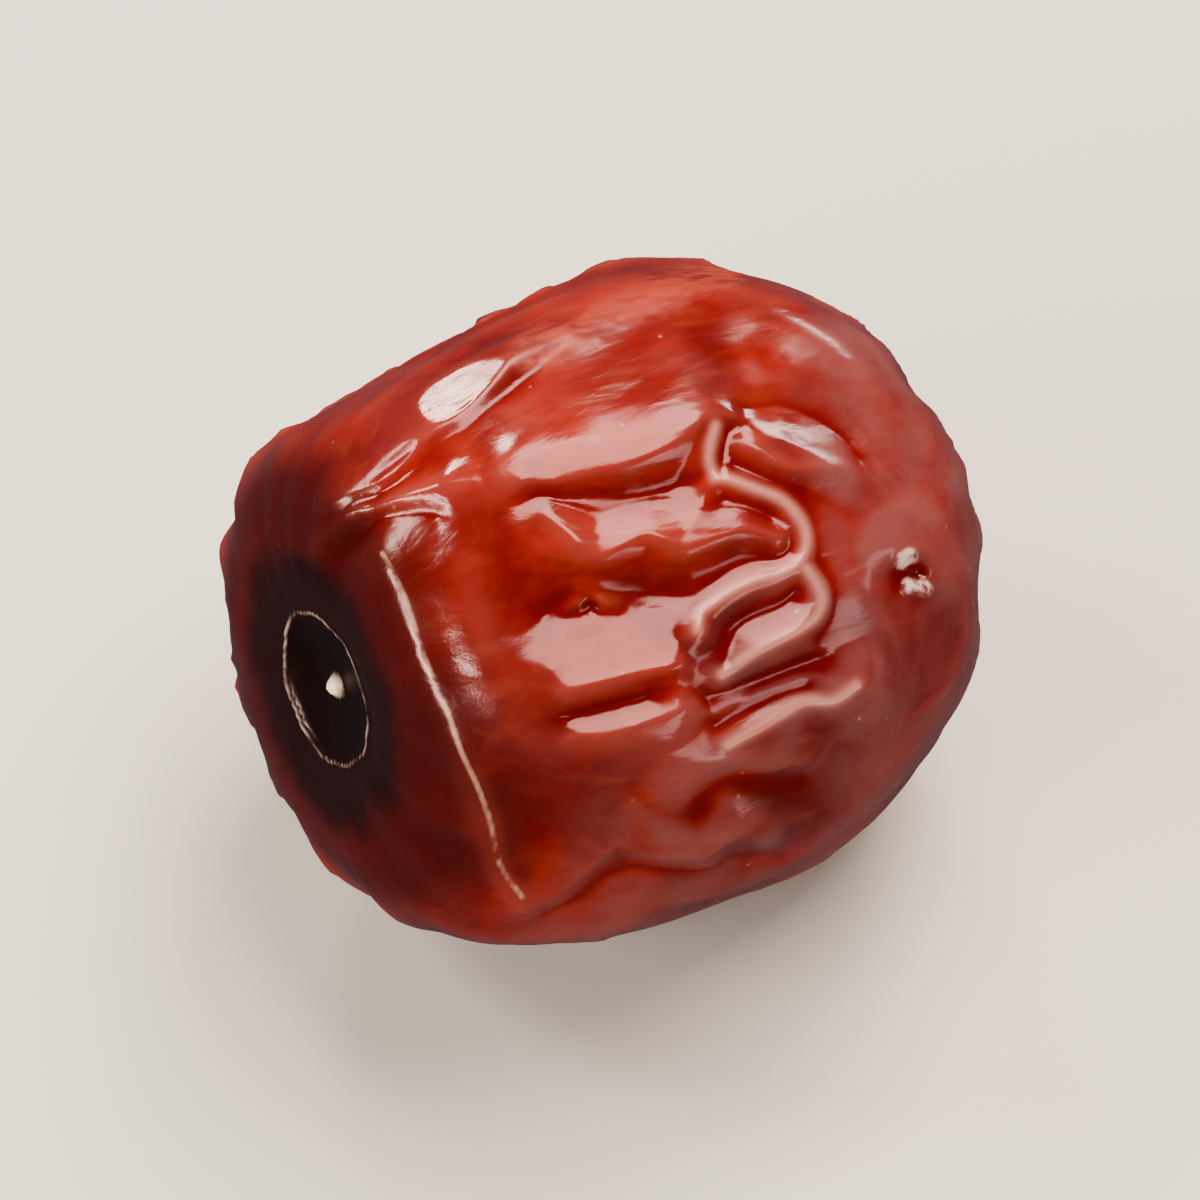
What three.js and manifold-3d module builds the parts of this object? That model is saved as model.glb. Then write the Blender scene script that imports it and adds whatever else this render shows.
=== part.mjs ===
// A dried jujube: one whole fruit, grown in one piece, lying on the flank that it dried on.
// Millimetres, +Z up. +X runs along the fruit from its stem end to its blossom end.
import * as THREE from "three";
import { mergeVertices } from "three/addons/utils/BufferGeometryUtils.js";
import Module from "manifold-3d";

// Driving dimensions of the whole fruit
const LENGTH = 28;
const DIAMETER = 25.2;
const STEM_SHARE = 0.47; // share of the length on the stem side of the thickest section
const STEM_BLUNTNESS = 3.3; // superellipse powers: 2 is an ellipse, more is squarer
const BLOSSOM_BLUNTNESS = 2.45;
const STEM_LIFT_DEG = 14; // the stem end lies higher than the blossom end

// The hollow that the stalk was pulled from, and the scar that it left at the bottom
const HOLLOW_RADIUS = 3.0;
const HOLLOW_DEPTH = 0.9;
const HOLLOW_SURROUND_DEPTH = 0.35;
const HOLLOW_SURROUND_RADIUS = 5.2;
const SCAR_RADIUS = 0.75;
const SCAR_HEIGHT = 0.65;

// The blossom end: a shallow dimple with the dry stub of the style in it
const DIMPLE_RADIUS = 2.6;
const DIMPLE_DEPTH = 0.75;
const STYLE_RADIUS = 0.6;
const STYLE_HEIGHT = 0.35;

// The flat spot that it rests on is cut this far up from its lowest point
const SEAT_DEPTH = 0.85;

// Faces of the solid: rings along the half-section and steps round it
const HOLLOW_RINGS = 9;
const BODY_RINGS = 42;
const DIMPLE_RINGS = 5;
const STEPS_ROUND = 104;

// The side with the boldest folds is seen from here, where right and up are the directions of its folds
const SEEN_AZIMUTH_DEG = -31;
const SEEN_ELEVATION_DEG = 55;

// Flank panels that sank flat in drying: the way each faces as seen from there, how far out it lies,
// and the share of the height above it that was lost
const PANELS = [
  { name: "upper flank", right: -0.46, up: 0.88, toward: 0.06, distance: 11.25, sink: 0.85 },
  { name: "front flank", right: 0.3, up: 0.08, toward: 0.95, distance: 11.75, sink: 0.62 },
  { name: "far flank", right: 0.2, up: 0.35, toward: -0.92, distance: 11.6, sink: 0.7 },
  { name: "low flank", right: 0.12, up: -0.8, toward: 0.59, distance: 12.0, sink: 0.62 },
  { name: "back flank", right: 0.35, up: 0.72, toward: -0.6, distance: 12.1, sink: 0.6 },
];

// Folds of the skin on that side, as lines through points [right, up] from the fruit's middle.
// The skin runs straight from each ridge down to the next valley.
const RIDGES = {
  "top strip": [[-10.2, 3.6], [-9.4, 4.1], [-8.6, 4.4], [-7.8, 5.1], [-7.0, 5.9], [-5.8, 6.9], [-5.1, 7.4],
    [-4.0, 8.6], [-3.3, 9.2], [-2.5, 9.5], [-1.0, 10.2], [1.0, 11.4], [3.0, 12.3]],
  "shoulder": [[-8.35, 1.8], [-7.45, 0.0], [-6.8, -2.0], [-5.85, -4.3], [-4.7, -7.15], [-4.2, -8.6], [-3.0, -11.5]],
  "corner": [[-10.6, 2.2], [-9.4, 3.3], [-8.2, 3.75], [-7.0, 3.95], [-6.0, 4.3]],
  "upper panel": [[-3.0, 4.55], [-1.85, 4.5], [-1.0, 4.7], [0.0, 5.0], [1.0, 5.2], [2.0, 5.6], [2.7, 6.0],
    [3.4, 6.5], [4.0, 6.95], [5.0, 7.05]],
  "fork": [[4.45, 6.7], [4.2, 5.45], [4.4, 4.8]],
  "right panel": [[5.5, 6.1], [6.15, 5.65], [7.05, 5.15], [8.0, 5.0], [9.35, 5.05]],
  "strip edge": [[-2.15, 3.4], [-1.3, 2.6], [-0.7, 1.9], [0.0, 1.6], [0.75, 2.05], [1.45, 2.45], [1.9, 2.5],
    [3.05, 1.95], [3.85, 2.15], [4.8, 2.5], [5.5, 2.65], [6.15, 2.5], [6.8, 2.25]],
  "hook": [[4.4, 4.75], [5.0, 4.65], [5.9, 4.3], [6.95, 3.9], [7.6, 3.3], [7.95, 2.6], [7.9, 1.9], [7.5, 1.35],
    [6.85, 1.0], [6.0, 0.78], [5.2, 0.43], [4.4, -0.05], [3.85, -0.5], [3.75, -1.15]],
  "tail": [[7.95, 1.2], [8.55, 0.2], [8.4, -0.6], [7.85, -1.05], [6.95, -1.5], [6.0, -2.0], [4.7, -2.9]],
  "middle panel": [[-1.2, -3.75], [0.0, -3.5], [1.0, -3.3], [1.7, -3.0], [2.6, -2.5]],
  "middle strip": [[-1.0, -5.2], [0.4, -5.1], [1.9, -4.6], [3.0, -4.2]],
  "lower crest": [[4.9, -5.6], [5.9, -5.0], [6.95, -4.4], [7.85, -3.9], [9.0, -3.9], [9.9, -3.3]],
  "arch": [[3.3, -7.0], [4.3, -6.4], [5.4, -6.15], [6.5, -6.2], [7.8, -6.1]],
  "low edge": [[-1.9, -11.2], [-1.1, -10.7], [0.0, -9.8], [0.7, -9.2], [1.4, -9.5], [4.0, -9.8], [4.9, -9.2],
    [6.0, -8.8], [6.6, -9.3]],
  "ray": [[5.4, 7.15], [6.4, 7.7], [7.85, 8.55]],
  "right edge": [[5.6, 11.9], [8.5, 10.1], [10.7, 7.7], [11.8, 5.2]],
  "pit edge": [[11.5, 1.9], [12.3, 1.9], [12.8, 1.1]],
};
const VALLEYS = {
  "under the top strip": [[-8.6, 3.95], [-7.6, 4.75], [-6.8, 5.5], [-6.0, 6.3], [-5.2, 6.75], [-4.5, 7.4],
    [-3.8, 8.0], [-2.9, 8.7], [-1.5, 9.55], [0.2, 10.2], [3.2, 11.6]],
  "beside the shoulder": [[-7.75, 1.6], [-6.9, 0.0], [-6.2, -2.0], [-5.4, -4.0], [-4.55, -6.0], [-3.5, -9.0]],
  "under the corner": [[-9.9, 1.9], [-9.0, 2.4], [-8.4, 3.1], [-7.0, 3.35], [-6.3, 3.3]],
  "over the strip": [[-2.4, 4.0], [-1.85, 4.05], [0.0, 4.05], [1.0, 4.0], [2.0, 4.15], [3.0, 4.4], [4.1, 4.95]],
  "beside the fork": [[4.95, 6.5], [4.75, 5.7], [4.65, 5.15]],
  "over the right panel": [[5.45, 6.95], [6.95, 7.0], [7.9, 6.75], [9.0, 6.1], [9.6, 5.4]],
  "round the hook": [[5.2, 5.15], [6.2, 4.75], [7.2, 4.3], [8.0, 3.5], [8.4, 2.5], [8.5, 1.5], [9.0, 0.6],
    [9.0, -0.6], [8.5, -1.5]],
  "strip trough": [[4.8, 3.95], [5.5, 3.8], [6.2, 3.55], [6.7, 3.25]],
  "inside the hook": [[-2.0, -0.5], [-1.0, 0.1], [0.3, 0.35], [2.0, 0.25], [3.75, 0.2], [4.4, 0.65], [5.2, 1.2],
    [6.0, 1.5], [6.95, 1.6], [7.35, 1.9]],
  "over the tail": [[4.8, -2.4], [5.0, -1.9], [5.35, -1.1], [6.0, -0.65], [6.95, -0.3], [7.75, 0.35]],
  "under the middle panel": [[-1.1, -4.5], [0.0, -4.2], [1.0, -3.95], [1.9, -3.75]],
  "under the tail": [[4.3, -3.7], [6.1, -3.1], [7.2, -2.75], [8.4, -2.3]],
  "over the lower crest": [[4.6, -4.9], [5.9, -4.2], [7.0, -3.7], [8.0, -3.4]],
  "under the arch": [[3.9, -7.9], [4.6, -7.3], [5.4, -7.05], [6.3, -7.1], [7.7, -7.0]],
  "low": [[-2.2, -12.0], [-0.9, -11.5], [0.2, -10.7], [1.2, -10.4], [4.2, -10.6], [5.1, -10.1], [7.0, -9.9]],
  "under the ray": [[6.2, 7.2], [7.4, 7.8], [8.4, 8.4]],
  "right edge": [[6.8, 9.4], [8.9, 7.9], [10.3, 5.8]],
  "pit": [[11.8, 1.1], [12.3, 0.9]],
};
const FOLD_DEPTH = 1.1; // from a ridge to its valley, where they are far enough apart
const FOLD_SLOPE = 0.85;
const FOLD_ROUNDING = 0.3; // a fold's edge is rounded off over this far to each side
const FOLD_NEAR = 1.2; // the folds are whole this near to a line, and gone at FOLD_FAR from any line
const FOLD_FAR = 3.2;

// The other sides fold by rule, in rows round the fruit. Places and reaches are shares of the way from
// the stem end to the blossom end, heights and widths are the least and the most in a row.
const FAR_ROWS = [
  { name: "stem shoulder", folds: 17, place: 0.26, scatter: 0.04, reach: 0.13,
    height: [0.2, 0.4], width: [0.75, 1.0] },
  { name: "flank", folds: 23, place: 0.52, scatter: 0.12, reach: 0.27,
    height: [0.3, 0.5], width: [0.85, 1.15] },
  { name: "blossom shoulder", folds: 19, place: 0.8, scatter: 0.04, reach: 0.13,
    height: [0.2, 0.4], width: [0.7, 0.95] },
];
const FAR_SEED = 11;
const FAR_SWAY = 1.3; // how far a fold wanders to each side
const FAR_GROOVE = 0.7; // depth of the groove beside a fold, as a share of its height

const { degToRad, lerp, seededRandom, smoothstep } = THREE.MathUtils;
const BODY_RADIUS = DIAMETER / 2;
const STEM_HALF = LENGTH * STEM_SHARE;
const BLOSSOM_HALF = LENGTH - STEM_HALF;

const wasm = await Module();
wasm.setup();

// Half-section of the fruit, as (radius, place along the axis), from the stalk's scar to the style's stub.

function bodyEnd(radius, half, bluntness) {
  return half * (1 - (radius / BODY_RADIUS) ** bluntness) ** (1 / bluntness);
}

// A low round button on the axis, such as a scar or a stub.
function button(radius, size, height) {
  return height * (1 - smoothstep(radius, 0.55 * size, size));
}

function stemSide(radius) {
  const surround = HOLLOW_SURROUND_DEPTH * Math.exp(-((radius / HOLLOW_SURROUND_RADIUS) ** 2));
  const hollow = HOLLOW_DEPTH * Math.max(0, 1 - (radius / HOLLOW_RADIUS) ** 2) ** 0.6;
  const scar = button(radius, SCAR_RADIUS, SCAR_HEIGHT);
  return -bodyEnd(radius, STEM_HALF, STEM_BLUNTNESS) + surround + hollow - scar;
}

function blossomSide(radius) {
  const dimple = DIMPLE_DEPTH * Math.exp(-((radius / (0.6 * DIMPLE_RADIUS)) ** 2));
  const stub = button(radius, STYLE_RADIUS, STYLE_HEIGHT);
  return bodyEnd(radius, BLOSSOM_HALF, BLOSSOM_BLUNTNESS) - dimple + stub;
}

function halfSection() {
  const points = [];
  for (let i = 0; i < HOLLOW_RINGS; i++) {
    const radius = (HOLLOW_RADIUS * i) / HOLLOW_RINGS;
    points.push(new THREE.Vector2(radius, stemSide(radius)));
  }
  const flank = [];
  const flankSteps = 200;
  const dimpleEdge = Math.asin(DIMPLE_RADIUS / BODY_RADIUS);
  const hollowEdge = Math.asin(HOLLOW_RADIUS / BODY_RADIUS);
  for (let i = 0; i <= flankSteps; i++) {
    const turn = lerp(hollowEdge, Math.PI - dimpleEdge, i / flankSteps);
    const radius = BODY_RADIUS * Math.sin(turn);
    flank.push(new THREE.Vector2(radius, turn < Math.PI / 2 ? stemSide(radius) : blossomSide(radius)));
  }
  points.push(...new THREE.SplineCurve(flank).getSpacedPoints(BODY_RINGS));
  for (let i = DIMPLE_RINGS - 1; i >= 0; i--) {
    const radius = (DIMPLE_RADIUS * i) / DIMPLE_RINGS;
    points.push(new THREE.Vector2(radius, blossomSide(radius)));
  }
  return points;
}

// Directions as seen from the side with the boldest folds.
function seenFrom(azimuthDeg, elevationDeg) {
  const a = degToRad(azimuthDeg);
  const e = degToRad(elevationDeg);
  return {
    right: new THREE.Vector3(Math.cos(a), Math.sin(a), 0),
    up: new THREE.Vector3(-Math.sin(a) * Math.sin(e), Math.cos(a) * Math.sin(e), Math.cos(e)),
    toward: new THREE.Vector3(Math.sin(a) * Math.cos(e), -Math.cos(a) * Math.cos(e), Math.sin(e)),
  };
}
const seen = seenFrom(SEEN_AZIMUTH_DEG, SEEN_ELEVATION_DEG);

// Sinks the flank towards each panel's plane.
function sinkPanels(point) {
  for (const panel of PANELS) {
    const facing = seen.right
      .clone()
      .multiplyScalar(panel.right)
      .addScaledVector(seen.up, panel.up)
      .addScaledVector(seen.toward, panel.toward)
      .normalize();
    const above = point.dot(facing) - panel.distance;
    if (above > 0) point.addScaledVector(facing, -panel.sink * above);
  }
}

// Height of the folds that show on the bold side, at a place seen at (right, up).
const POINTS_PER_LINE = 60;
const linesOf = (folds) =>
  Object.values(folds).flatMap((points) =>
    new THREE.SplineCurve(points.map(([x, y]) => new THREE.Vector2(x, y))).getSpacedPoints(POINTS_PER_LINE),
  );
const ridgePoints = linesOf(RIDGES);
const valleyPoints = linesOf(VALLEYS);

function nearest(points, place) {
  return points.reduce((least, point) => Math.min(least, point.distanceTo(place)), Infinity);
}

function sharpFoldHeight(place) {
  const toRidge = nearest(ridgePoints, place);
  const toValley = nearest(valleyPoints, place);
  const apart = toRidge + toValley;
  const depth = FOLD_DEPTH * Math.tanh((FOLD_SLOPE * apart) / FOLD_DEPTH);
  const fade = 1 - smoothstep(Math.min(toRidge, toValley), FOLD_NEAR, FOLD_FAR);
  return depth * (toValley / apart - 0.5) * fade;
}

function seenFoldHeight(right, up) {
  const corners = [[-1, -1], [1, -1], [-1, 1], [1, 1]];
  const heights = corners.map(([x, y]) =>
    sharpFoldHeight(new THREE.Vector2(right + x * FOLD_ROUNDING, up + y * FOLD_ROUNDING)),
  );
  return heights.reduce((sum, height) => sum + height) / corners.length;
}

// The folds of the other sides, drawn once from the seed.
seededRandom(FAR_SEED);
const spread = () => 2 * seededRandom() - 1;
const between = ([low, high]) => lerp(low, high, seededRandom());
const farFolds = FAR_ROWS.flatMap((row) =>
  Array.from({ length: row.folds }, (_, i) => ({
    around: ((i + 0.3 * spread()) / row.folds) * 2 * Math.PI,
    place: row.place + row.scatter * spread(),
    reach: row.reach * (1 + 0.3 * spread()),
    height: between(row.height),
    width: between(row.width),
    phase: Math.PI * spread(),
    side: Math.sign(spread()),
  })),
);

function farFoldHeight(way, around, radius) {
  let height = 0;
  for (const fold of farFolds) {
    const run = (way - fold.place) / fold.reach;
    if (Math.abs(run) > 1) continue;
    const turn = around - fold.around;
    const sway = FAR_SWAY * Math.sin(2.6 * run + fold.phase);
    const aside = radius * Math.atan2(Math.sin(turn), Math.cos(turn)) - sway * (radius / BODY_RADIUS);
    const crest = Math.exp(-((aside / fold.width) ** 2));
    const groove = Math.exp(-(((aside - 1.5 * fold.side * fold.width) / (0.9 * fold.width)) ** 2));
    height += fold.height * (1 - run * run) * (crest - FAR_GROOVE * groove);
  }
  return height;
}

// The whole skin: the turned half-section, sunk at its panels and raised into folds.
function skin() {
  const turned = new THREE.LatheGeometry(halfSection(), STEPS_ROUND);
  turned.deleteAttribute("normal");
  turned.deleteAttribute("uv");
  const merged = mergeVertices(turned);
  const upright = merged.clone().attributes.position;
  merged.rotateZ(-Math.PI / 2).rotateY(degToRad(STEM_LIFT_DEG));

  const position = merged.attributes.position;
  const point = new THREE.Vector3();
  for (let i = 0; i < position.count; i++) {
    sinkPanels(point.fromBufferAttribute(position, i));
    position.setXYZ(i, ...point);
  }
  merged.computeVertexNormals();

  const normal = new THREE.Vector3();
  for (let i = 0; i < position.count; i++) {
    point.fromBufferAttribute(position, i);
    normal.fromBufferAttribute(merged.attributes.normal, i);
    const radius = Math.hypot(upright.getX(i), upright.getZ(i));
    const around = Math.atan2(upright.getZ(i), upright.getX(i));
    const way = 1 - Math.atan2(radius, upright.getY(i)) / Math.PI;
    const shows = smoothstep(normal.dot(seen.toward), 0.1, 0.4);
    const smoothEnd = way < 0.5 ? HOLLOW_RADIUS : 0.6 * DIMPLE_RADIUS;
    const offEnds = smoothstep(radius, 1.15 * smoothEnd, 2.2 * smoothEnd);
    const far = farFoldHeight(way, around, radius);
    const near = seenFoldHeight(point.dot(seen.right), point.dot(seen.up));
    point.addScaledVector(normal, offEnds * lerp(far, near, shows));
    position.setXYZ(i, ...point);
  }
  return merged;
}

// Cuts and solids.

function solidOf(geometry) {
  const bare = geometry.clone();
  bare.deleteAttribute("normal");
  bare.deleteAttribute("uv");
  const merged = mergeVertices(bare);
  return new wasm.Manifold(
    new wasm.Mesh({
      numProp: 3,
      vertProperties: new Float32Array(merged.attributes.position.array),
      triVerts: new Uint32Array(merged.index.array),
    }),
  );
}

function geometryOf(solid) {
  const mesh = solid.getMesh();
  const geometry = new THREE.BufferGeometry();
  geometry.setAttribute("position", new THREE.BufferAttribute(new Float32Array(mesh.vertProperties), 3));
  geometry.setIndex(new THREE.BufferAttribute(new Uint32Array(mesh.triVerts), 1));
  return geometry;
}

// The fruit with its flat spot, set down with that spot on z = 0 and its box centred on the origin.
function seated(geometry) {
  geometry.computeBoundingBox();
  const floor = geometry.boundingBox.min.z + SEAT_DEPTH;
  const size = 2 * LENGTH;
  const below = new THREE.BoxGeometry(size, size, size).translate(0, 0, floor - size / 2);
  const cut = geometryOf(solidOf(geometry).subtract(solidOf(below)));
  cut.computeBoundingBox();
  const middle = cut.boundingBox.getCenter(new THREE.Vector3());
  cut.translate(-middle.x, -middle.y, -floor);
  cut.computeVertexNormals();
  return cut;
}

const jujubeSkin = new THREE.MeshStandardMaterial({ color: 0x6e1f16, roughness: 0.36, metalness: 0 });

const fruit = new THREE.Mesh(seated(skin()), jujubeSkin);
fruit.name = "jujube";

const part = new THREE.Group();
part.add(fruit);

export default part;
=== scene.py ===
import math

import bpy
import numpy as np
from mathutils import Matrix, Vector, noise


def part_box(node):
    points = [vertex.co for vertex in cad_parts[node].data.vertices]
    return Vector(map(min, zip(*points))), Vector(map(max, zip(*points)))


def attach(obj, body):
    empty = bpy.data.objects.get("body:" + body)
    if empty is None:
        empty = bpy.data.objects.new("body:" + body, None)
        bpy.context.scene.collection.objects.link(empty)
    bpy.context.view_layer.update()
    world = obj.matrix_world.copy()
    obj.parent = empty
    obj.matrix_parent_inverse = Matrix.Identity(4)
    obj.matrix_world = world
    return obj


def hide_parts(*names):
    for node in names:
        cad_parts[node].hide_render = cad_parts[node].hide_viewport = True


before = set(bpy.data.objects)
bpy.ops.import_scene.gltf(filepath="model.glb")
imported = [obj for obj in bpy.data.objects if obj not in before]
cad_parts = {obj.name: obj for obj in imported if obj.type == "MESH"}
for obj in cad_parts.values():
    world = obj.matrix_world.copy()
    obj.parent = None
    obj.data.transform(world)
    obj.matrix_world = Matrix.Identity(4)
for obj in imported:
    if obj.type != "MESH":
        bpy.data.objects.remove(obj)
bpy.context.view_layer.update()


# The fruit: a jujube dried whole, so that its thin waxy skin sank onto the shrunken flesh in long folds.
# It grew as one piece: a barrel with a round hollow where the stalk was pulled off, a pale scar in the
# middle of the hollow, and a small dimple with a dry stub at the blossom end.

# Places on the skin, in millimetres: right and up as the bold side is seen, and the way along and round
# the fruit's own axis, which is lifted at the stem end.
SEEN_AZIMUTH = math.radians(-31)
SEEN_ELEVATION = math.radians(55)
STEM_LIFT = math.radians(14)
FRUIT_HEART = np.array([-0.63, 0.0, 12.36])
GIRTH_RADIUS = 12.6

right = np.array([math.cos(SEEN_AZIMUTH), math.sin(SEEN_AZIMUTH), 0])
toward = np.array([
    math.sin(SEEN_AZIMUTH) * math.cos(SEEN_ELEVATION),
    -math.cos(SEEN_AZIMUTH) * math.cos(SEEN_ELEVATION),
    math.sin(SEEN_ELEVATION),
])
up = np.cross(toward, right)
axis = np.array([math.cos(STEM_LIFT), 0, -math.sin(STEM_LIFT)])
across = np.array([0, 1.0, 0])
over = np.cross(axis, across)

# A ball of quads, a little closer together on the bold side, is wrapped onto the solid.
CUTS = 10
BALL_REACH = 0.6
BOLD_SIDE_PULL = 0.25
MM = 1000

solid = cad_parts["jujube"]
low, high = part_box("jujube")
middle = np.array((low + high) / 2)
ball_radius = BALL_REACH * (high - low).length

bpy.ops.object.select_all(action="DESELECT")
bpy.ops.mesh.primitive_cube_add(size=2)
fruit = bpy.context.object
fruit.name = "dried_jujube"
bpy.ops.object.mode_set(mode="EDIT")
bpy.ops.mesh.select_all(action="SELECT")
bpy.ops.mesh.subdivide(number_cuts=CUTS)
bpy.ops.mesh.subdivide(number_cuts=CUTS)
bpy.ops.object.mode_set(mode="OBJECT")


def read_points():
    flat = np.empty(3 * len(fruit.data.vertices), np.float32)
    fruit.data.vertices.foreach_get("co", flat)
    return flat.reshape(-1, 3).astype(float)


def read_normals():
    flat = np.empty(3 * len(fruit.data.vertices), np.float32)
    fruit.data.vertices.foreach_get("normal", flat)
    return flat.reshape(-1, 3).astype(float)


def move_points(points):
    fruit.data.vertices.foreach_set("co", points.astype(np.float32).ravel())
    fruit.data.update()


spread = np.tan(read_points() * math.pi / 4)
spread /= np.linalg.norm(spread, axis=1, keepdims=True)
spread += BOLD_SIDE_PULL * toward
spread /= np.linalg.norm(spread, axis=1, keepdims=True)
move_points(middle + ball_radius * spread)

bpy.ops.object.modifier_add(type="SHRINKWRAP")
wrap = fruit.modifiers[-1]
wrap.target = solid
wrap.wrap_method = "PROJECT"
wrap.use_negative_direction = True
wrap.use_positive_direction = False
bpy.ops.object.modifier_apply(modifier=wrap.name)


def ease(value, low_end, high_end):
    share = np.clip((value - low_end) / (high_end - low_end), 0, 1)
    return share * share * (3 - 2 * share)


# The solid's facets are smoothed away all over, and its broad folds where sharper ones are drawn below.
SMOOTHING_SHARE = 0.5
FACET_SMOOTHING = 14
FOLD_SMOOTHING = 160
BOLD_SIDE_BLEND = 0.15


def smooth_skin(iterations, group=""):
    bpy.ops.object.modifier_add(type="SMOOTH")
    smoothing = fruit.modifiers[-1]
    smoothing.factor = SMOOTHING_SHARE
    smoothing.iterations = iterations
    smoothing.vertex_group = group
    bpy.ops.object.modifier_apply(modifier=smoothing.name)


smooth_skin(FACET_SMOOTHING)
bold_side = fruit.vertex_groups.new(name="bold side")
for index, share in enumerate(ease(read_normals() @ toward, -BOLD_SIDE_BLEND, BOLD_SIDE_BLEND)):
    bold_side.add([index], share, "REPLACE")
smooth_skin(FOLD_SMOOTHING, "bold side")
bpy.ops.object.shade_smooth()

# The folds of the bold side, as lines through points (right, up) from the fruit's heart: the skin goes
# straight from each ridge down to the next valley, so both are sharp. The shoulder is a rounder crest.
RIDGES = {
    "top strip": [
        (-10.2, 3.6), (-9.4, 4.1), (-8.6, 4.4), (-7.8, 5.1), (-7.0, 5.9), (-6.1, 6.65), (-5.2, 7.4),
        (-4.0, 8.6), (-3.3, 9.2), (-2.5, 9.6), (-1.4, 10.1),
    ],
    "corner": [(-10.6, 2.2), (-9.4, 3.3), (-8.2, 3.75), (-7.0, 3.95), (-6.0, 4.3)],
    "upper panel": [
        (-3.0, 4.55), (-1.85, 4.5), (-1.0, 4.7), (0.0, 5.0), (1.0, 5.2), (2.0, 5.6), (2.7, 6.0), (3.4, 6.5),
        (4.0, 6.95), (5.0, 7.05),
    ],
    "fork": [(4.45, 6.7), (4.2, 5.45), (4.4, 4.8)],
    "right panel": [(5.5, 6.1), (6.15, 5.65), (7.05, 5.15), (8.0, 5.0), (9.35, 5.05)],
    "strip edge": [
        (-2.15, 3.4), (-1.3, 2.6), (-0.7, 1.9), (0.0, 1.6), (0.75, 2.05), (1.45, 2.45), (1.9, 2.5),
        (2.4, 2.25), (3.05, 1.95), (3.85, 2.15), (4.8, 2.5), (5.5, 2.65), (6.15, 2.5), (6.8, 2.25),
    ],
    "hook": [
        (4.4, 4.75), (5.0, 4.65), (5.9, 4.3), (6.95, 3.9), (7.6, 3.3), (7.95, 2.6), (7.9, 1.9), (7.5, 1.35),
        (6.85, 1.0), (6.0, 0.78), (5.2, 0.43), (4.4, -0.05), (3.85, -0.5), (3.75, -1.15),
    ],
    "tail": [
        (7.95, 1.2), (8.55, 0.2), (8.4, -0.6), (7.85, -1.05), (6.95, -1.5), (6.0, -2.0), (5.2, -2.5),
        (4.7, -2.9),
    ],
    "middle panel": [(-1.2, -3.75), (0.0, -3.5), (1.0, -3.3), (1.7, -3.0), (2.6, -2.5)],
    "notch": [(-0.7, 0.05), (-0.05, 0.1)],
    "middle strip": [(-1.0, -5.2), (0.4, -5.1), (1.9, -4.6), (3.0, -4.2)],
    "lower crest": [(4.9, -5.6), (5.9, -5.0), (6.95, -4.4), (7.85, -3.9), (9.0, -3.9), (9.9, -3.3)],
    "arch": [(3.3, -7.0), (4.3, -6.4), (5.4, -6.15), (6.5, -6.2), (7.8, -6.1)],
    "low edge": [
        (-1.9, -11.2), (-1.1, -10.7), (0.0, -9.8), (0.7, -9.2), (1.4, -9.5), (2.6, -9.7), (4.0, -9.8),
        (4.9, -9.2), (6.0, -8.8), (6.6, -9.3),
    ],
    "pit edge": [(11.5, 1.9), (12.3, 1.9), (12.8, 1.1)],
}
VALLEYS = {
    "under the top strip": [
        (-8.6, 3.95), (-7.6, 4.75), (-6.8, 5.5), (-6.0, 6.3), (-5.2, 6.75), (-4.5, 7.4), (-3.8, 8.0),
        (-2.9, 8.7), (-1.5, 9.8),
    ],
    "under the corner": [(-9.9, 1.9), (-9.0, 2.4), (-8.4, 3.1), (-7.0, 3.35), (-6.3, 3.3)],
    "over the strip": [
        (-2.4, 4.0), (-1.85, 4.05), (0.0, 4.05), (1.0, 4.0), (2.0, 4.15), (3.0, 4.4), (3.6, 4.6),
        (4.1, 4.95),
    ],
    "beside the fork": [(4.95, 6.5), (4.75, 5.7), (4.65, 5.15)],
    "over the right panel": [(5.6, 7.5), (6.95, 7.7), (8.1, 7.4), (9.4, 6.6), (10.1, 5.6)],
    "round the hook": [
        (5.2, 5.15), (6.2, 4.75), (7.2, 4.3), (8.0, 3.5), (8.4, 2.5), (8.5, 1.5), (9.0, 0.6), (9.0, -0.6),
        (8.5, -1.5),
    ],
    "strip trough": [(4.8, 3.95), (5.5, 3.8), (6.2, 3.55), (6.7, 3.25)],
    "inside the hook": [
        (-2.0, -0.5), (-1.0, 0.1), (0.3, 0.35), (1.0, 0.3), (2.0, 0.25), (2.95, 0.2), (3.75, 0.2),
        (4.4, 0.65), (5.2, 1.2), (6.0, 1.5), (6.95, 1.6), (7.35, 1.9),
    ],
    "notch": [(-0.85, -0.42), (0.1, -0.45)],
    "over the tail": [(4.8, -2.4), (5.0, -1.9), (5.35, -1.1), (6.0, -0.65), (6.95, -0.3), (7.75, 0.35)],
    "under the middle panel": [(-1.1, -4.5), (0.0, -4.2), (1.0, -3.95), (1.9, -3.75)],
    "under the tail": [(4.3, -3.7), (5.2, -3.4), (6.1, -3.1), (7.2, -2.75), (8.4, -2.3)],
    "over the lower crest": [(4.6, -4.9), (5.9, -4.2), (7.0, -3.7), (8.0, -3.4)],
    "under the arch": [(3.9, -7.9), (4.6, -7.3), (5.4, -7.05), (6.3, -7.1), (7.7, -7.0)],
    "low": [
        (-2.2, -12.0), (-0.9, -11.5), (0.2, -10.7), (1.2, -10.4), (2.6, -10.6), (4.2, -10.6), (5.1, -10.1),
        (6.0, -9.9), (7.0, -9.9),
    ],
    "pit": [(11.8, 1.1), (12.3, 0.9)],
}
SHOULDER = [
    (-8.35, 1.8), (-7.45, 0.0), (-6.8, -2.0), (-5.85, -4.3), (-5.3, -5.85), (-4.7, -7.15), (-4.2, -8.6),
    (-3.85, -10.2), (-3.0, -11.5),
]
FOLD_SLOPE = 0.62
FOLD_DEPTH = 0.72
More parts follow.
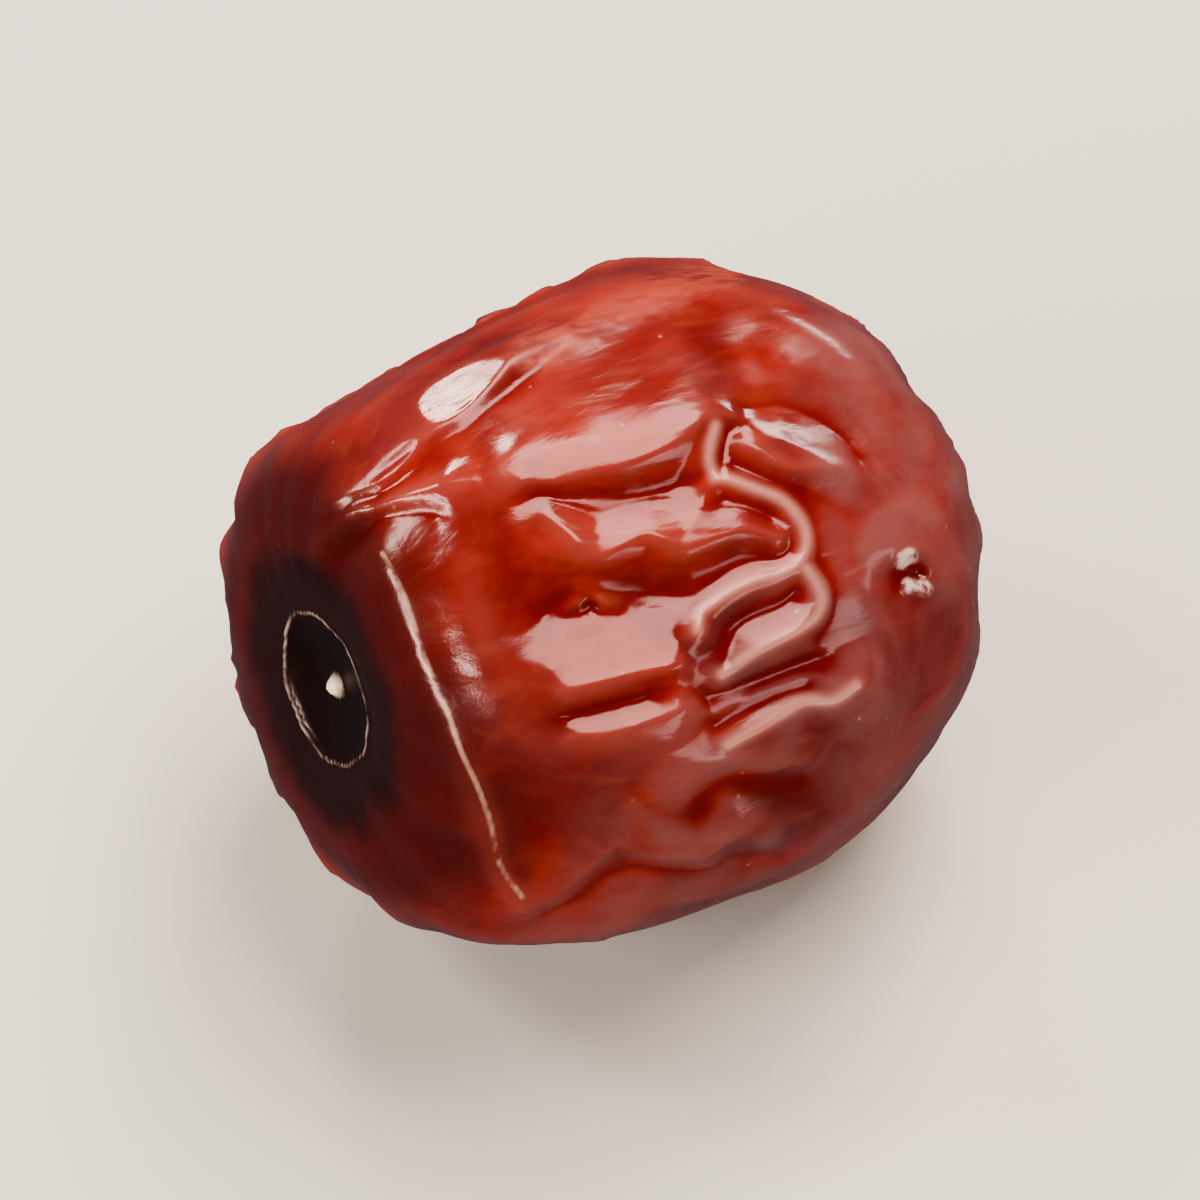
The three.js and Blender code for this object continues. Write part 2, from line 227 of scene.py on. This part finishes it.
FOLD_NEAR, FOLD_FAR = 1.2, 3.2
FOLD_REACH = 5
FAR_OFF = 9.0
LINE_STEPS = 8
SKIN_SEED = 7
SWELL_HEIGHT = 0.07
SWELL_LENGTH = 2.6
SHOULDER_CREST = 0.55
SHOULDER_CREST_WIDTH = 1.3
SHOULDER_CREST_ROUNDING = 0.4

# A span, here and below, is where a share starts and where it is whole.
FACING_SPAN = 0.12, 0.4


def smooth_line(corners):
    corners = np.array(corners, float)
    run = np.vstack([2 * corners[0] - corners[1], corners, 2 * corners[-1] - corners[-2]])
    share = np.linspace(0, 1, LINE_STEPS, endpoint=False)[:, None]
    bends = [
        start + 0.5 * share * (end - before)
        + share**2 * (before - 2.5 * start + 2 * end - 0.5 * after)
        + share**3 * (1.5 * start - 0.5 * before - 1.5 * end + 0.5 * after)
        for before, start, end, after in zip(run, run[1:], run[2:], run[3:])
    ]
    return np.vstack([*bends, corners[-1:]])


def distance_to_line(places, line):
    nearest = np.full(len(places), np.inf)
    for start, end in zip(line, line[1:]):
        leg = end - start
        share = np.clip((places - start) @ leg / (leg @ leg + 1e-12), 0, 1)
        nearest = np.minimum(nearest, np.hypot(*(places - start - share[:, None] * leg).T))
    return nearest


def distance_to_folds(places, folds):
    nearest = np.full(len(places), FAR_OFF)
    for corners in folds.values():
        line = smooth_line(corners)
        near = np.all((places > line.min(0) - FOLD_REACH) & (places < line.max(0) + FOLD_REACH), axis=1)
        nearest[near] = np.minimum(nearest[near], distance_to_line(places[near], line))
    return nearest


def seen_places(points):
    from_heart = points - FRUIT_HEART
    return np.stack([from_heart @ right, from_heart @ up], axis=1)


noise.seed_set(SKIN_SEED)
points = read_points() * MM
normals = read_normals()
places = seen_places(points)
facing = ease(normals @ toward, *FACING_SPAN)
swell = np.array([noise.noise(Vector(p / SWELL_LENGTH)) for p in points])
to_ridge = distance_to_folds(places, RIDGES)
to_valley = distance_to_folds(places, VALLEYS)
apart = to_ridge + to_valley + 1e-9
depth = FOLD_DEPTH * np.tanh(FOLD_SLOPE * apart / FOLD_DEPTH)
fade = 1 - ease(np.minimum(to_ridge, to_valley), FOLD_NEAR, FOLD_FAR)
height = depth * (to_valley / apart - 0.5) * fade + SWELL_HEIGHT * swell
to_shoulder = distance_to_line(places, smooth_line(SHOULDER))
to_shoulder = np.hypot(to_shoulder, SHOULDER_CREST_ROUNDING) - SHOULDER_CREST_ROUNDING
height += SHOULDER_CREST * np.exp(-to_shoulder / SHOULDER_CREST_WIDTH)
move_points((points + normals * (facing * height)[:, None]) / MM)

# Places that dried flat, each from one point (right, up) to another with its half width at both ends and
# the way that it faces (right, up, toward). The top strip is only planed off, and the middle panel is
# filled where it was hollow as well.
TOP_FACETS = [
    ((-6.4, 7.45), (-3.4, 9.55), (0.7, 0.3), (-0.19, 0.72, 0.665)),
    ((-9.3, 4.3), (-6.9, 6.15), (0.08, 0.04), (-0.45, 0.35, 0.82)),
]
MIDDLE_PANEL = ((-1.4, -2.05), (2.5, -1.5), (1.45, 1.1), (0.2, 0.33, 0.92))
FACET_EDGE = 0.3
FACET_END = 0.8
FACET_INSIDE = 0.05
FACET_DEPTH = 0.05


def dry_flat(start, end, half_widths, faces, filled):
    points = read_points() * MM
    normals = read_normals()
    places = seen_places(points)
    leg = np.subtract(end, start)
    length = np.hypot(*leg)
    leg /= length
    forward = (places - start) @ leg
    sideways = np.abs((places - start) @ (-leg[1], leg[0]))
    half = np.interp(forward, [0, length], half_widths)
    share = ease(half - sideways, -FACET_EDGE, FACET_INSIDE) * (normals @ toward > 0)
    share *= ease(np.minimum(forward, length - forward), -FACET_END, FACET_INSIDE)
    centre = np.average(points, axis=0, weights=share)
    way = faces @ np.stack([right, up, toward])
    way /= np.linalg.norm(way)
    above = (points - centre) @ way
    if not filled:
        above = np.maximum(above + FACET_DEPTH, 0)
    points -= np.outer(share * above, way)
    move_points(points / MM)


for facet in TOP_FACETS:
    dry_flat(*facet, filled=False)
dry_flat(*MIDDLE_PANEL, filled=True)

# Two drops of juice, dried where they ran, each from one point (right, up) to another, and two small pits:
# the middle of each, its radius and its depth. The drops are painted pale further down, as a painted glint.
DROPS = [[(11.7, 1.5), (12.0, 1.7)], [(12.0, 0.58), (12.6, 0.45)]]
DROP_RADIUS = 0.42
DROP_HEIGHT = 0.25
PITS = [((12.3, 1.12), 0.5, 0.4), ((-0.35, -0.2), 0.45, 0.35)]
LAST_SMOOTHING = 2

points = read_points() * MM
places = seen_places(points)
on_bold_side = read_normals() @ toward > 0
drops_and_glint = np.zeros(len(points))
for run in DROPS:
    to_run = distance_to_line(places, np.array(run)) / DROP_RADIUS
    drops_and_glint = np.maximum(drops_and_glint, np.clip(1 - to_run**2, 0, 1) * on_bold_side)
points += np.outer(DROP_HEIGHT * drops_and_glint, toward)
for at, pit_radius, pit_depth in PITS:
    share = np.clip(1 - np.hypot(*(places - at).T) / pit_radius, 0, 1) * on_bold_side
    points -= np.outer(pit_depth * share, toward)
move_points(points / MM)
smooth_skin(LAST_SMOOTHING, "bold side")

# Every other side has a net of thin crests with smooth hollows between them, drawn out along the fruit,
# and creases that cross it.
NET_CELL = 3.1
NET_HEIGHT = 0.5
NET_WIDTH = 0.5
CREASE_CELL = 2.2
CREASE_DEPTH = 0.22
CREASE_WIDTH = 0.4
CREASE_SHIFT = 40
CREST_MEAN = 0.25
CREST_SWAY = 0.35
SWAY_RATE = 0.8
PATCH_LENGTH = 6
PATCH_MEAN = 0.75
PATCH_SWING = 0.5
DRAWN_OUT = 2.6
OFF_STEM_SPAN = 5.0, 9.5
OFF_BLOSSOM_SPAN = 1.6, 4.5
HIDDEN_SPAN = -0.35, 0.2


def border_distance(place):
    centres = noise.voronoi(place)[1]
    way = centres[1] - centres[0]
    return ((centres[0] + centres[1]) / 2 - place).dot(way) / way.length


def crest_net(places, cell, width):
    heights = np.empty(len(places))
    for index, place in enumerate(places):
        at = Vector(place / cell)
        at += CREST_SWAY * noise.noise_vector(SWAY_RATE * at)
        heights[index] = math.exp(-cell * border_distance(at) / width)
    return heights


points = read_points() * MM
normals = read_normals()
from_heart = points - FRUIT_HEART
along = from_heart @ axis
radius = np.hypot(from_heart @ across, from_heart @ over)
around = np.arctan2(from_heart @ over, from_heart @ across)
meridian = np.arctan2(radius, along) * GIRTH_RADIUS
unrolled = np.stack([
    meridian / DRAWN_OUT,
    GIRTH_RADIUS * np.cos(around),
    GIRTH_RADIUS * np.sin(around),
], axis=1)

patchy = np.array([PATCH_MEAN + PATCH_SWING * noise.noise(Vector(p / PATCH_LENGTH)) for p in unrolled])
net = crest_net(unrolled, NET_CELL, NET_WIDTH) * patchy
crease = crest_net(unrolled + CREASE_SHIFT, CREASE_CELL, CREASE_WIDTH)
off_ends = np.where(along < 0, ease(radius, *OFF_STEM_SPAN), ease(radius, *OFF_BLOSSOM_SPAN))
hidden = 1 - ease(normals @ toward, *HIDDEN_SPAN)
height = NET_HEIGHT * (net - CREST_MEAN) - CREASE_DEPTH * (crease - CREST_MEAN)
height = off_ends * hidden * height
move_points((points + normals * height[:, None]) / MM)

# Fine crinkles lie over the whole skin, all but the smooth stem end, and are fainter on the bold side.
# A strip along its top edge is pimpled.
CRINKLE_HEIGHT = 0.05
CRINKLE_LENGTH = 0.9
FINE_CRINKLE_LENGTH = 0.4
FINE_CRINKLE_SHARE = 0.5
BOLD_SIDE_CRINKLE = 0.25
PIMPLE_HEIGHT = 0.025
PIMPLE_LENGTH = 0.55
PIMPLED_STRIP = [(-2.6, 9.6), (1.0, 11.4), (4.8, 12.8)]
OFF_PIMPLES_SPAN = 0.4, 1.4

points = read_points() * MM
normals = read_normals()
to_strip = distance_to_line(seen_places(points), np.array(PIMPLED_STRIP))
to_strip += FAR_OFF * (normals @ toward < 0)
crinkle = np.array([noise.noise(Vector(p / CRINKLE_LENGTH)) for p in unrolled])
fine_crinkle = np.array([noise.noise(Vector(p / FINE_CRINKLE_LENGTH)) for p in unrolled])
crinkle += FINE_CRINKLE_SHARE * fine_crinkle
crinkle *= CRINKLE_HEIGHT * off_ends * (BOLD_SIDE_CRINKLE + (1 - BOLD_SIDE_CRINKLE) * hidden)
pimple = np.array([noise.noise(Vector(p / PIMPLE_LENGTH)) for p in points])
crinkle += PIMPLE_HEIGHT * pimple * (1 - ease(to_strip, *OFF_PIMPLES_SPAN))
move_points((points + normals * crinkle[:, None]) / MM)

# The stem hollow: a crisp thin rim that isn't quite round, wrinkles that run out from it, and the stub of
# the scar.
HOLLOW_RADIUS = 3.05
HOLLOW_UNEVEN = 0.07
HOLLOW_WAVES = 1.2
HOLLOW_FINE_WAVES = 3
HOLLOW_FINE_SHARE = 0.5
HOLLOW_LEVEL, HOLLOW_FINE_LEVEL = 5, 9
STEM_WRINKLE = 0.07
STEM_WRINKLE_WAVES = 7
STEM_WRINKLE_DRIFT = 0.1
OFF_HOLLOW_SPAN = 3.3, 4.5
OFF_WRINKLES_SPAN = 8.0, 11.0
HOLLOW_RIM = 0.16
HOLLOW_RIM_WIDTH = 0.13
SCAR_RADIUS = 0.5
SCAR_RISE = 0.3


def wave_noise(way, waves, level):
    return noise.noise(Vector((*(waves * way), level)))


points = read_points() * MM
from_heart = points - FRUIT_HEART
along = from_heart @ axis
radius = np.hypot(from_heart @ across, from_heart @ over)
stem_side = along < 0
round_stem = np.stack([np.cos(around), np.sin(around)], axis=1)
uneven = np.array([wave_noise(way, HOLLOW_WAVES, HOLLOW_LEVEL) for way in round_stem])
finer = np.array([wave_noise(way, HOLLOW_FINE_WAVES, HOLLOW_FINE_LEVEL) for way in round_stem])
uneven += HOLLOW_FINE_SHARE * finer
levels = STEM_WRINKLE_DRIFT * radius
wrinkle = np.array([wave_noise(way, STEM_WRINKLE_WAVES, at) for way, at in zip(round_stem, levels)])
wrinkle *= stem_side * ease(radius, *OFF_HOLLOW_SPAN) * (1 - ease(radius, *OFF_WRINKLES_SPAN))
points -= axis * (STEM_WRINKLE * wrinkle)[:, None]
radius *= 1 + HOLLOW_UNEVEN * uneven * stem_side
rim = stem_side * np.exp(-((radius - HOLLOW_RADIUS) / HOLLOW_RIM_WIDTH) ** 2)
scar = stem_side * (1 - ease(radius, 0.5 * SCAR_RADIUS, SCAR_RADIUS))
points -= axis * (HOLLOW_RIM * rim + SCAR_RISE * scar)[:, None]

points[:, 2] = np.maximum(points[:, 2], 0)
move_points(points / MM)

# The skin's material reads where it is from these values on the mesh: crest or groove, the grooves with
# painted shade, the stem end with its hollow, rim and scar, the side with a dusty bloom and a painted
# sheen, worn edges and ridges with a painted highlight, drops with a painted glint, the rough strip and the
# blossom dimple.
RELIEF_ROUNDS = 60
RELIEF_FULL = 0.14
SHOULDER_WEAR_AND_HIGHLIGHT_WIDTH = 0.14
RIDGE_WEAR_AND_HIGHLIGHT_WIDTH = 0.22
WORN_AND_HIGHLIGHTED_RIDGES = ("hook", "tail", "fork", "lower crest")
OFF_STEM_DARK_SPAN = 3.0, 8.0
OFF_STEM_RED_SPAN = 8.0, 10.5
HALO_SPAN = 2.9, 3.3
OFF_HALO_SPAN = 3.6, 6.5
OFF_HOLLOW_FLOOR_SPAN = HOLLOW_RADIUS - 0.35, HOLLOW_RADIUS - 0.1
OFF_BLOSSOM_DARK_SPAN = 0.5, 2.2
OFF_ROUGH_STRIP_SPAN = 0.3, 1.3
LOW_RIGHT_WAY = 0.7, -0.5
LOW_RIGHT_SPAN = 2.5, 6.5
FAR_RIGHT_SPAN = 6.5, 10.0
LEAST_BLOOM = 0.15


def neighbours_mean(points, rounds):
    edges = np.empty(2 * len(fruit.data.edges), np.int32)
    fruit.data.edges.foreach_get("vertices", edges)
    start, end = edges.reshape(-1, 2).T
    count = np.bincount(edges, minlength=len(points))
    for _ in range(rounds):
        total = np.stack([
            np.bincount(start, line[end], len(line)) + np.bincount(end, line[start], len(line))
            for line in points.T
        ], axis=1)
        points = 0.5 * points + 0.5 * total / count[:, None]
    return points


def store(name, values):
    attribute = fruit.data.attributes.new(name, "FLOAT", "POINT")
    attribute.data.foreach_set("value", values.astype(np.float32))


points = read_points() * MM
normals = read_normals()
places = seen_places(points)
relief = np.sum((points - neighbours_mean(points, RELIEF_ROUNDS)) * normals, axis=1)
store("relief", np.clip(relief / RELIEF_FULL, -1, 1))
store("stem end", stem_side * (1 - ease(radius, *OFF_STEM_DARK_SPAN)))
store("stem side", stem_side * (1 - ease(radius, *OFF_STEM_RED_SPAN)))
store("halo", stem_side * ease(radius, *HALO_SPAN) * (1 - ease(radius, *OFF_HALO_SPAN)))
store("hollow", stem_side * (1 - ease(radius, *OFF_HOLLOW_FLOOR_SPAN)))
store("rim", rim)
store("scar", scar)
unseen = FAR_OFF * (normals @ toward < 0)
to_shoulder = distance_to_line(places, smooth_line(SHOULDER)) + unseen
to_worn_and_highlighted_ridge = distance_to_folds(places, {name: RIDGES[name] for name in WORN_AND_HIGHLIGHTED_RIDGES}) + unseen
low_right = ease(places @ LOW_RIGHT_WAY, *LOW_RIGHT_SPAN)
far_right = ease(places[:, 0], *FAR_RIGHT_SPAN)
# On the right side the dusty bloom is partly a painted sheen.
store("bloom and sheen side", LEAST_BLOOM + (1 - LEAST_BLOOM) * np.maximum(low_right, far_right))
# Along the shoulder crest a pale line is painted, partly worn skin and partly a painted highlight.
store("shoulder wear and highlight", np.exp(-((to_shoulder / SHOULDER_WEAR_AND_HIGHLIGHT_WIDTH) ** 2)))
# The crests of the hook, tail, fork and lower crest get a pale line, partly worn skin and partly a painted
# highlight.
store("ridge wear and highlight", np.exp(-((to_worn_and_highlighted_ridge / RIDGE_WEAR_AND_HIGHLIGHT_WIDTH) ** 2)))
store("drops_and_glint", drops_and_glint)
store("rough strip", 1 - ease(to_strip, *OFF_ROUGH_STRIP_SPAN))
store("blossom", (1 - stem_side) * (1 - ease(radius, *OFF_BLOSSOM_DARK_SPAN)))

skin = bpy.data.materials.new("jujube skin")
skin.use_nodes = True
nodes = skin.node_tree.nodes
links = skin.node_tree.links
shader = nodes["Principled BSDF"]


def node(kind, inputs=None, **settings):
    made = nodes.new(kind)
    for name, value in settings.items():
        setattr(made, name, value)
    for name, value in (inputs or {}).items():
        if isinstance(value, bpy.types.NodeSocket):
            links.new(value, made.inputs[name])
        else:
            made.inputs[name].default_value = value
    return made


def attribute(name):
    return node("ShaderNodeAttribute", attribute_name=name).outputs["Fac"]


def span(value, low_end, high_end, to_low=0.0, to_high=1.0):
    return node(
        "ShaderNodeMapRange",
        {"Value": value, "From Min": low_end, "From Max": high_end, "To Min": to_low, "To Max": to_high},
        interpolation_type="SMOOTHSTEP",
    ).outputs["Result"]


def times(first, second):
    return node("ShaderNodeMath", {0: first, 1: second}, operation="MULTIPLY").outputs[0]


def plus(first, second):
    return node("ShaderNodeMath", {0: first, 1: second}, operation="ADD").outputs[0]


def mixed(share, under, top):
    return node("ShaderNodeMix", {0: share, 6: under, 7: top}, data_type="RGBA").outputs[2]


def cloudy(where, scale, detail=4.0, distortion=0.0):
    return node(
        "ShaderNodeTexNoise",
        {"Vector": where, "Scale": scale, "Detail": detail, "Distortion": distortion},
    ).outputs["Fac"]


# Millimetres along the fruit and across it, and the same drawn out along it.
place = node("ShaderNodeMapping", {
    "Vector": node("ShaderNodeTexCoord").outputs["Object"],
    "Rotation": (0, -STEM_LIFT, 0),
    "Scale": (MM, MM, MM),
}).outputs["Vector"]
drawn_out = node("ShaderNodeMapping", {"Vector": place, "Scale": (0.3, 1, 1)}).outputs["Vector"]

DEEP_RED = (0.11, 0.007, 0.006, 1)
WARM_RED = (0.25, 0.019, 0.010, 1)
RUSSET = (0.21, 0.030, 0.013, 1)
GROOVE_SHADE_RED = (0.12, 0.005, 0.004, 1)
CREST_TAN_AND_HIGHLIGHT = (0.26, 0.05, 0.036, 1)
STRIP_ORANGE_AND_LIGHT = (0.32, 0.045, 0.026, 1)
BLOOM_AND_SHEEN = (0.2, 0.075, 0.07, 1)
SPECK = (0.5, 0.3, 0.22, 1)
RIDGE_WEAR_AND_HIGHLIGHT_PINK = (0.62, 0.3, 0.24, 1)
SHOULDER_WEAR_AND_HIGHLIGHT_CREAM = (0.55, 0.33, 0.23, 1)
STEM_RED = (0.035, 0.003, 0.003, 1)
STEM_DARK = (0.010, 0.0016, 0.0016, 1)
HALO_GREY = (0.018, 0.007, 0.008, 1)
HOLLOW_BROWN = (0.008, 0.003, 0.003, 1)
RIM_PALE_AND_HIGHLIGHT = (0.3, 0.22, 0.18, 1)
SCAR_CREAM = (0.78, 0.66, 0.46, 1)
DROP_GLINT_CREAM = (0.75, 0.6, 0.52, 1)

relief_value = attribute("relief")
mottle = cloudy(place, 0.17, 5.0, 0.6)
streaks = cloudy(drawn_out, 0.9, 5.0, 0.4)
fine = cloudy(drawn_out, 2.2, 5.0, 0.3)
rough_strip = attribute("rough strip")
stem_end = attribute("stem end")

# Dusty bloom, which on the right side is partly a painted sheen.
bloom_and_sheen = times(span(cloudy(place, 0.2, 6.0, 1.0), 0.2, 0.6), span(relief_value, -0.5, 0.3))
bloom_and_sheen = times(bloom_and_sheen, attribute("bloom and sheen side"))

speck_cells = node("ShaderNodeTexVoronoi", {"Vector": place, "Scale": 0.62})
speck_draw = node("ShaderNodeSeparateColor", {"Color": speck_cells.outputs["Color"]}).outputs[0]
speck = times(span(speck_cells.outputs["Distance"], 0.08, 0.02), span(speck_draw, 0.6, 0.62))

stem_dark = span(plus(stem_end, times(span(mottle, 0.2, 0.8, -1, 1), 0.35)), 0.2, 0.75)
edge_patches = span(cloudy(place, 0.9, 3.0), 0.35, 0.6)
rim_patches = span(cloudy(place, 0.7, 3.0), 0.35, 0.6)
glint_patches = span(cloudy(place, 2.0, 3.0), 0.35, 0.6)

# Colours over the deep red, from the bottom up: where each lies, how strong it is, and the colour.
layers = [
    (span(mottle, 0.35, 0.68), 1.0, WARM_RED),
    (span(streaks, 0.5, 0.75), 0.6, RUSSET),
    (span(fine, 0.45, 0.7), 0.35, DEEP_RED),
    # Painted shade: the grooves are painted a darker red, where the folds' shade falls.
    (span(relief_value, 0.0, -0.8), 0.75, GROOVE_SHADE_RED),
    # The crests are painted a paler tan, partly rubbed skin and partly a painted highlight.
    (span(relief_value, 0.15, 0.9), 0.45, CREST_TAN_AND_HIGHLIGHT),
    # The rough strip is painted a lighter orange, partly its own colour and partly painted light that the
    # strip catches.
    (times(rough_strip, span(fine, 0.35, 0.6)), 0.7, STRIP_ORANGE_AND_LIGHT),
    # Dusty bloom, partly a painted sheen on the right side.
    (bloom_and_sheen, 0.7, BLOOM_AND_SHEEN),
    (speck, 0.35, SPECK),
    (attribute("stem side"), 0.8, STEM_RED),
    # The crests of the hook, tail, fork and lower crest are painted pale pink, partly worn skin and partly
    # a painted highlight.
    (attribute("ridge wear and highlight"), 0.5, RIDGE_WEAR_AND_HIGHLIGHT_PINK),
    # A painted highlight along the shoulder crest, with some pale worn skin.
    (times(span(attribute("shoulder wear and highlight"), 0.3, 1.0), edge_patches), 0.55, SHOULDER_WEAR_AND_HIGHLIGHT_CREAM),
    (stem_dark, 0.9, STEM_DARK),
    (attribute("halo"), 0.7, HALO_GREY),
    (attribute("hollow"), 1.0, HOLLOW_BROWN),
    # The hollow's thin rim is painted pale, partly worn skin and partly a painted highlight.
    (times(span(attribute("rim"), 0.5, 0.95), rim_patches), 1.0, RIM_PALE_AND_HIGHLIGHT),
    (attribute("scar"), 1.0, SCAR_CREAM),
    (attribute("blossom"), 0.8, STEM_DARK),
    # A painted glint: the two drops are painted pale cream.
    (times(span(attribute("drops_and_glint"), 0.1, 0.9), glint_patches), 0.75, DROP_GLINT_CREAM),
]
colour = DEEP_RED
for where, strength, tint in layers:
    colour = mixed(times(where, strength), colour, tint)
links.new(colour, shader.inputs["Base Color"])

# The wax shines, a little less where the bloom is, at the stem end and on the rough strip, and fine
# streaks stand out of it.
SHINIEST, DULLEST = 0.12, 0.24
BLOOM_DULLING = 0.04
STEM_DULLING = 0.1
STRIP_DULLING = 0.2
SHINE_TINT = (1, 0.66, 0.6, 1)
STREAK_STRENGTH = 0.2
STREAK_HEIGHT = 0.0001

roughness = span(cloudy(place, 0.5, 5.0), 0.3, 0.75, SHINIEST, DULLEST)
for where, dulling in ((bloom_and_sheen, BLOOM_DULLING), (stem_end, STEM_DULLING), (rough_strip, STRIP_DULLING)):
    roughness = plus(roughness, times(where, dulling))
links.new(roughness, shader.inputs["Roughness"])
shader.inputs["Specular Tint"].default_value = SHINE_TINT

bump = node("ShaderNodeBump", {"Height": fine, "Strength": STREAK_STRENGTH, "Distance": STREAK_HEIGHT})
links.new(bump.outputs["Normal"], shader.inputs["Normal"])
fruit.data.materials.append(skin)

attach(fruit, "root")
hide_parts("jujube")


# The floor: a plain pale sheet of matt paper that the fruit lies on, wide enough to fill the view.
# The skin doesn't mirror it, so that the folds keep their dark sides.
FLOOR_SIZE = 3
PAPER_COLOUR = (0.6, 0.55, 0.48, 1)
PAPER_ROUGHNESS = 0.9

bpy.ops.object.select_all(action="DESELECT")
bpy.ops.mesh.primitive_plane_add(size=FLOOR_SIZE, location=(0, 0, 0))
floor = bpy.context.object
floor.name = "floor"
paper = bpy.data.materials.new("pale paper")
paper.use_nodes = True
paper_shader = paper.node_tree.nodes["Principled BSDF"]
paper_shader.inputs["Base Color"].default_value = PAPER_COLOUR
paper_shader.inputs["Roughness"].default_value = PAPER_ROUGHNESS
floor.data.materials.append(paper)
floor.visible_glossy = False


# The lights: three soft boxes above, which the flat folds mirror, small windows behind, at the left and
# at the right, which draw the bright edges, a strip for the shoulder, and a broad fill in front, which
# the skin doesn't mirror. Each is a flat lamp that faces the fruit.
def soft_light(name, direction, distance, width, height, watts, colour):
    bpy.ops.object.light_add(type="AREA", location=FRUIT_HEART / MM + distance * direction)
    light = bpy.context.object
    light.name = name
    light.data.shape = "RECTANGLE"
    light.data.size = width
    light.data.size_y = height
    light.data.energy = watts
    light.data.color = colour
    light.rotation_mode = "QUATERNION"
    light.rotation_quaternion = (-Vector(direction)).to_track_quat("-Z", "Y")
    return light


def seen_direction(to_right, to_up, to_camera):
    way = to_right * right + to_up * up + to_camera * toward
    return way / np.linalg.norm(way)


# The way to each lamp (right, up, toward), its distance, width and height in metres, watts and colour.
BOX_PINK = (1, 0.88, 0.83)
WINDOW_CREAM = (1, 0.95, 0.9)
LAMPS = {
    "soft box": ((0.24, 0.76, 0.6), 0.46, 0.4, 0.23, 3.4, BOX_PINK),
    "second soft box": ((0.257, 0.958, 0.126), 0.48, 0.155, 0.23, 1.25, BOX_PINK),
    "third soft box": ((0.431, 0.869, 0.244), 0.487, 0.055, 0.16, 0.31, BOX_PINK),
    "back window": ((-0.25, 0.96, -0.12), 0.5, 0.08, 0.08, 0.75, (1, 0.94, 0.84)),
    "left window": ((-0.72, 0.52, 0.4), 0.5, 0.14, 0.14, 1.2, WINDOW_CREAM),
    "left strip": ((-0.72, -0.15, 0.62), 0.4, 0.34, 0.06, 1.7, WINDOW_CREAM),
    "right window": ((0.47, 0.73, -0.4), 0.5, 0.1, 0.06, 0.25, (1, 0.96, 0.92)),
    "low window": ((0.85, -0.3, 0.42), 0.5, 0.3, 0.12, 0.5, (0.95, 0.95, 1)),
    "front fill": ((0.03, -0.52, 0.85), 0.5, 0.6, 0.6, 1.0, (1, 0.9, 0.8)),
}
for name, (way, distance, width, height, watts, colour) in LAMPS.items():
    lamp = soft_light(name, seen_direction(*way), distance, width, height, watts, colour)
    lamp.visible_glossy = name != "front fill"

# A faint bluish light from all round, and a look with some contrast.
ROOM_COLOUR = (0.9, 0.93, 1, 1)
ROOM_STRENGTH = 0.1

bpy.context.scene.view_settings.look = "AgX - Medium High Contrast"
world = bpy.data.worlds.new("studio")
bpy.context.scene.world = world
world.use_nodes = True
world.node_tree.nodes["Background"].inputs["Color"].default_value = ROOM_COLOUR
world.node_tree.nodes["Background"].inputs["Strength"].default_value = ROOM_STRENGTH


# The camera: a long lens at the angle that the bold side is seen from, with the fruit in the middle
# of the picture and room left round it.
CAMERA_DISTANCE = 0.6
FRAME_WIDTH = 0.047
SENSOR_WIDTH = 36
CLIP_NEAR, CLIP_FAR = 0.01, 10

bpy.ops.object.camera_add(location=FRUIT_HEART / MM + CAMERA_DISTANCE * toward)
camera = bpy.context.object
camera.rotation_mode = "QUATERNION"
camera.rotation_quaternion = (-Vector(toward)).to_track_quat("-Z", "Y")
camera.data.sensor_width = SENSOR_WIDTH
camera.data.lens = SENSOR_WIDTH * CAMERA_DISTANCE / FRAME_WIDTH
camera.data.clip_start = CLIP_NEAR
camera.data.clip_end = CLIP_FAR
bpy.context.scene.camera = camera
